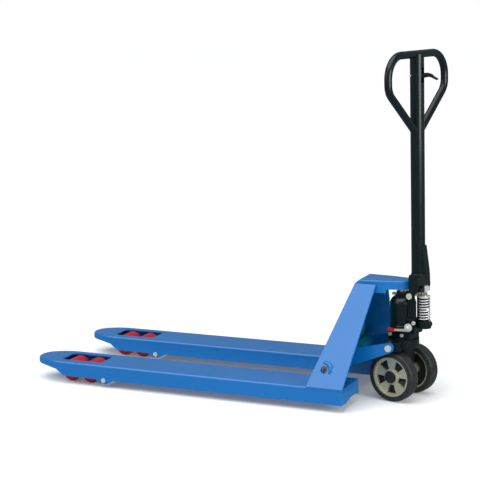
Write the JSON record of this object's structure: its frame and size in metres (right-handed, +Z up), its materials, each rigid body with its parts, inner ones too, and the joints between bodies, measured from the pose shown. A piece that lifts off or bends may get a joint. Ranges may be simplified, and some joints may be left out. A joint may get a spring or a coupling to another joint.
{
  "type": "hand pallet truck",
  "caption": "Hand pallet truck with two forks on tandem load rollers, a hydraulic pump on steered wheels and a tilting loop handle.",
  "frame": {"origin": "on the floor, under the middle of the overall length and width", "axes": "+X from the fork tips towards the handle, +Z up, +Y completes the right-handed set, so the side named left is at -Y"},
  "size_m": [1.5444, 0.568, 1.2258],
  "materials": {
    "blue_paint": "gloss",
    "black_paint": "gloss",
    "zinc": "zinc plated, satin",
    "steel": "machined",
    "chrome": "polished",
    "aluminium": "cast and turned",
    "black_tyre": "satin rubber",
    "red_polyurethane": "satin",
    "black_plastic": "matte",
    "red_plastic": "gloss"
  },
  "bodies": {
    "chassis": {"fork_left": "blue_paint", "fork_right": "blue_paint", "pillar_left": "blue_paint", "pillar_right": "blue_paint", "front_plate": "blue_paint", "bonnet": "blue_paint", "ram_seat": "steel", "ram": "chrome", "rocker_shaft": "steel", "roller_arm_pins": "zinc", "entry_roller_pins": "zinc"},
    "rocker": {"rocker_tube": "blue_paint", "rocker_arm_left": "blue_paint", "rocker_arm_right": "blue_paint", "rocker_lugs": "blue_paint", "rocker_web": "blue_paint", "rocker_pins": "zinc", "push_rod_pins": "zinc"},
    "yoke": {"yoke": "black_paint", "thrust_bearing": "steel"},
    "pump": {"pump_body": "black_paint", "reservoir": "black_paint", "wiper_ring": "black_plastic", "filler_plug": "black_plastic", "wheel_axle": "steel", "wheel_bearings": "steel", "axle_caps": "black_plastic", "release_pin": "zinc", "handle_pivot_pin": "zinc"},
    "plunger": {"plunger": "chrome", "spring_cap": "zinc", "plunger_spring": "steel"},
    "handle": {"handle_socket": "black_paint", "socket_plate": "zinc", "handle_tube": "black_paint", "handle_loop": "black_paint", "handle_gusset": "black_paint", "cam_pin": "steel", "finger_lever_pin": "zinc"},
    "cam_roller": {"cam_roller": "steel"},
    "finger_lever": {"finger_lever": "black_paint"},
    "release_rod": {"release_rod": "steel"},
    "release_lever": {"release_lever": "zinc", "release_tip": "red_plastic"},
    "push_rod_left": {"push_rod_left": "blue_paint"},
    "roller_arm_left": {"roller_arm_left": "blue_paint"},
    "bogie_left": {"bogie_left": "blue_paint"},
    "entry_roller_left": {"entry_roller_left": "black_plastic"},
    "load_roller_front_left": {"load_roller_front_left": "red_polyurethane"},
    "load_roller_rear_left": {"load_roller_rear_left": "red_polyurethane"},
    "push_rod_right": {"push_rod_right": "blue_paint"},
    "roller_arm_right": {"roller_arm_right": "blue_paint"},
    "bogie_right": {"bogie_right": "blue_paint"},
    "entry_roller_right": {"entry_roller_right": "black_plastic"},
    "load_roller_front_right": {"load_roller_front_right": "red_polyurethane"},
    "load_roller_rear_right": {"load_roller_rear_right": "red_polyurethane"},
    "steer_wheel_left": {"steer_tyre_left": "black_tyre", "steer_rim_left": "aluminium"},
    "steer_wheel_right": {"steer_tyre_right": "black_tyre", "steer_rim_right": "aluminium"}
  },
  "joints": [
    {"name": "lift", "type": "slide", "parent": "chassis", "child": "yoke", "axis": [0, 0, -1], "range_m": [0, 0.11]},
    {"name": "rocker_turn", "type": "hinge", "parent": "chassis", "child": "rocker", "pos_m": [0.42226, 0, 0.141], "axis": [0, 1, 0], "range_deg": [0, 32.57]},
    {"name": "push_rod_pivot_left", "type": "hinge", "parent": "rocker", "child": "push_rod_left", "pos_m": [0.44296, -0.2, 0.06996], "axis": [0, 1, 0], "range_deg": [-32.57, 0]},
    {"name": "roller_arm_turn_left", "type": "hinge", "parent": "chassis", "child": "roller_arm_left", "pos_m": [-0.45024, -0.2, 0.0286], "axis": [0, -1, 0], "range_deg": [0, 57.33]},
    {"name": "bogie_turn_left", "type": "hinge", "parent": "roller_arm_left", "child": "bogie_left", "pos_m": [-0.57422, -0.2, 0.041], "axis": [0, -1, 0], "range_deg": [-57.33, 0]},
    {"name": "load_roller_front_left_spin", "type": "hinge", "parent": "bogie_left", "child": "load_roller_front_left", "pos_m": [-0.61622, -0.2, 0.041], "axis": [0, 1, 0], "continuous": true},
    {"name": "load_roller_rear_left_spin", "type": "hinge", "parent": "bogie_left", "child": "load_roller_rear_left", "pos_m": [-0.53222, -0.2, 0.041], "axis": [0, 1, 0], "continuous": true},
    {"name": "entry_roller_left_spin", "type": "hinge", "parent": "chassis", "child": "entry_roller_left", "pos_m": [-0.68224, -0.2, 0.06], "axis": [0, 1, 0], "continuous": true},
    {"name": "push_rod_pivot_right", "type": "hinge", "parent": "rocker", "child": "push_rod_right", "pos_m": [0.44296, 0.2, 0.06996], "axis": [0, 1, 0], "range_deg": [-32.57, 0]},
    {"name": "roller_arm_turn_right", "type": "hinge", "parent": "chassis", "child": "roller_arm_right", "pos_m": [-0.45024, 0.2, 0.0286], "axis": [0, -1, 0], "range_deg": [0, 57.33]},
    {"name": "bogie_turn_right", "type": "hinge", "parent": "roller_arm_right", "child": "bogie_right", "pos_m": [-0.57422, 0.2, 0.041], "axis": [0, -1, 0], "range_deg": [-57.33, 0]},
    {"name": "load_roller_front_right_spin", "type": "hinge", "parent": "bogie_right", "child": "load_roller_front_right", "pos_m": [-0.61622, 0.2, 0.041], "axis": [0, 1, 0], "continuous": true},
    {"name": "load_roller_rear_right_spin", "type": "hinge", "parent": "bogie_right", "child": "load_roller_rear_right", "pos_m": [-0.53222, 0.2, 0.041], "axis": [0, 1, 0], "continuous": true},
    {"name": "entry_roller_right_spin", "type": "hinge", "parent": "chassis", "child": "entry_roller_right", "pos_m": [-0.68224, 0.2, 0.06], "axis": [0, 1, 0], "continuous": true},
    {"name": "steer", "type": "hinge", "parent": "yoke", "child": "pump", "pos_m": [0.62926, 0, 0.2], "axis": [0, 0, 1], "range_deg": [-76.2, 103.8]},
    {"name": "steer_wheel_left_spin", "type": "hinge", "parent": "pump", "child": "steer_wheel_left", "pos_m": [0.61375, -0.06312, 0.09], "axis": [0.2385, 0.9711, 0], "continuous": true},
    {"name": "steer_wheel_right_spin", "type": "hinge", "parent": "pump", "child": "steer_wheel_right", "pos_m": [0.64476, 0.06312, 0.09], "axis": [0.2385, 0.9711, 0], "continuous": true},
    {"name": "handle_tilt", "type": "hinge", "parent": "pump", "child": "handle", "pos_m": [0.67976, -0.0124, 0.378], "axis": [0.2385, 0.9711, 0], "range_deg": [0, 65], "stiffness_Nm_per_rad": 14, "springref_deg": -28.65},
    {"name": "plunger_stroke", "type": "slide", "parent": "pump", "child": "plunger", "axis": [0, 0, -1], "range_m": [0, 0.04645], "deforming": ["plunger_spring"]},
    {"name": "cam_roller_spin", "type": "hinge", "parent": "handle", "child": "cam_roller", "pos_m": [0.71472, -0.02099, 0.4016], "axis": [0.2385, 0.9711, 0], "continuous": true},
    {"name": "finger_lever_turn", "type": "hinge", "parent": "handle", "child": "finger_lever", "pos_m": [0.67976, -0.0124, 1.141], "axis": [0.2385, 0.9711, 0], "range_deg": [-14, 10], "stiffness_Nm_per_rad": 2},
    {"name": "release_rod_pull", "type": "slide", "parent": "handle", "child": "release_rod", "axis": [0, 0, -1], "range_m": [-0.0046, 0.00334]},
    {"name": "release_lever_turn", "type": "hinge", "parent": "pump", "child": "release_lever", "pos_m": [0.66783, -0.06096, 0.268], "axis": [0.2385, 0.9711, 0], "range_deg": [-7.2, 5.2]}
  ],
  "couplings": [
    {"joint": "rocker_turn", "follows": "lift", "rad_per_m": 5.1604},
    {"joint": "push_rod_pivot_left", "follows": "lift", "rad_per_m": -5.1604},
    {"joint": "roller_arm_turn_left", "follows": "lift", "rad_per_m": 9.0877},
    {"joint": "bogie_turn_left", "follows": "lift", "rad_per_m": -9.0877},
    {"joint": "push_rod_pivot_right", "follows": "lift", "rad_per_m": -5.1604},
    {"joint": "roller_arm_turn_right", "follows": "lift", "rad_per_m": 9.0877},
    {"joint": "bogie_turn_right", "follows": "lift", "rad_per_m": -9.0877},
    {"joint": "plunger_stroke", "follows": "handle_tilt", "m_per_rad": 0.04077},
    {"joint": "release_rod_pull", "follows": "finger_lever_turn", "m_per_rad": 0.018},
    {"joint": "release_lever_turn", "follows": "finger_lever_turn", "ratio": 0.5}
  ]
}
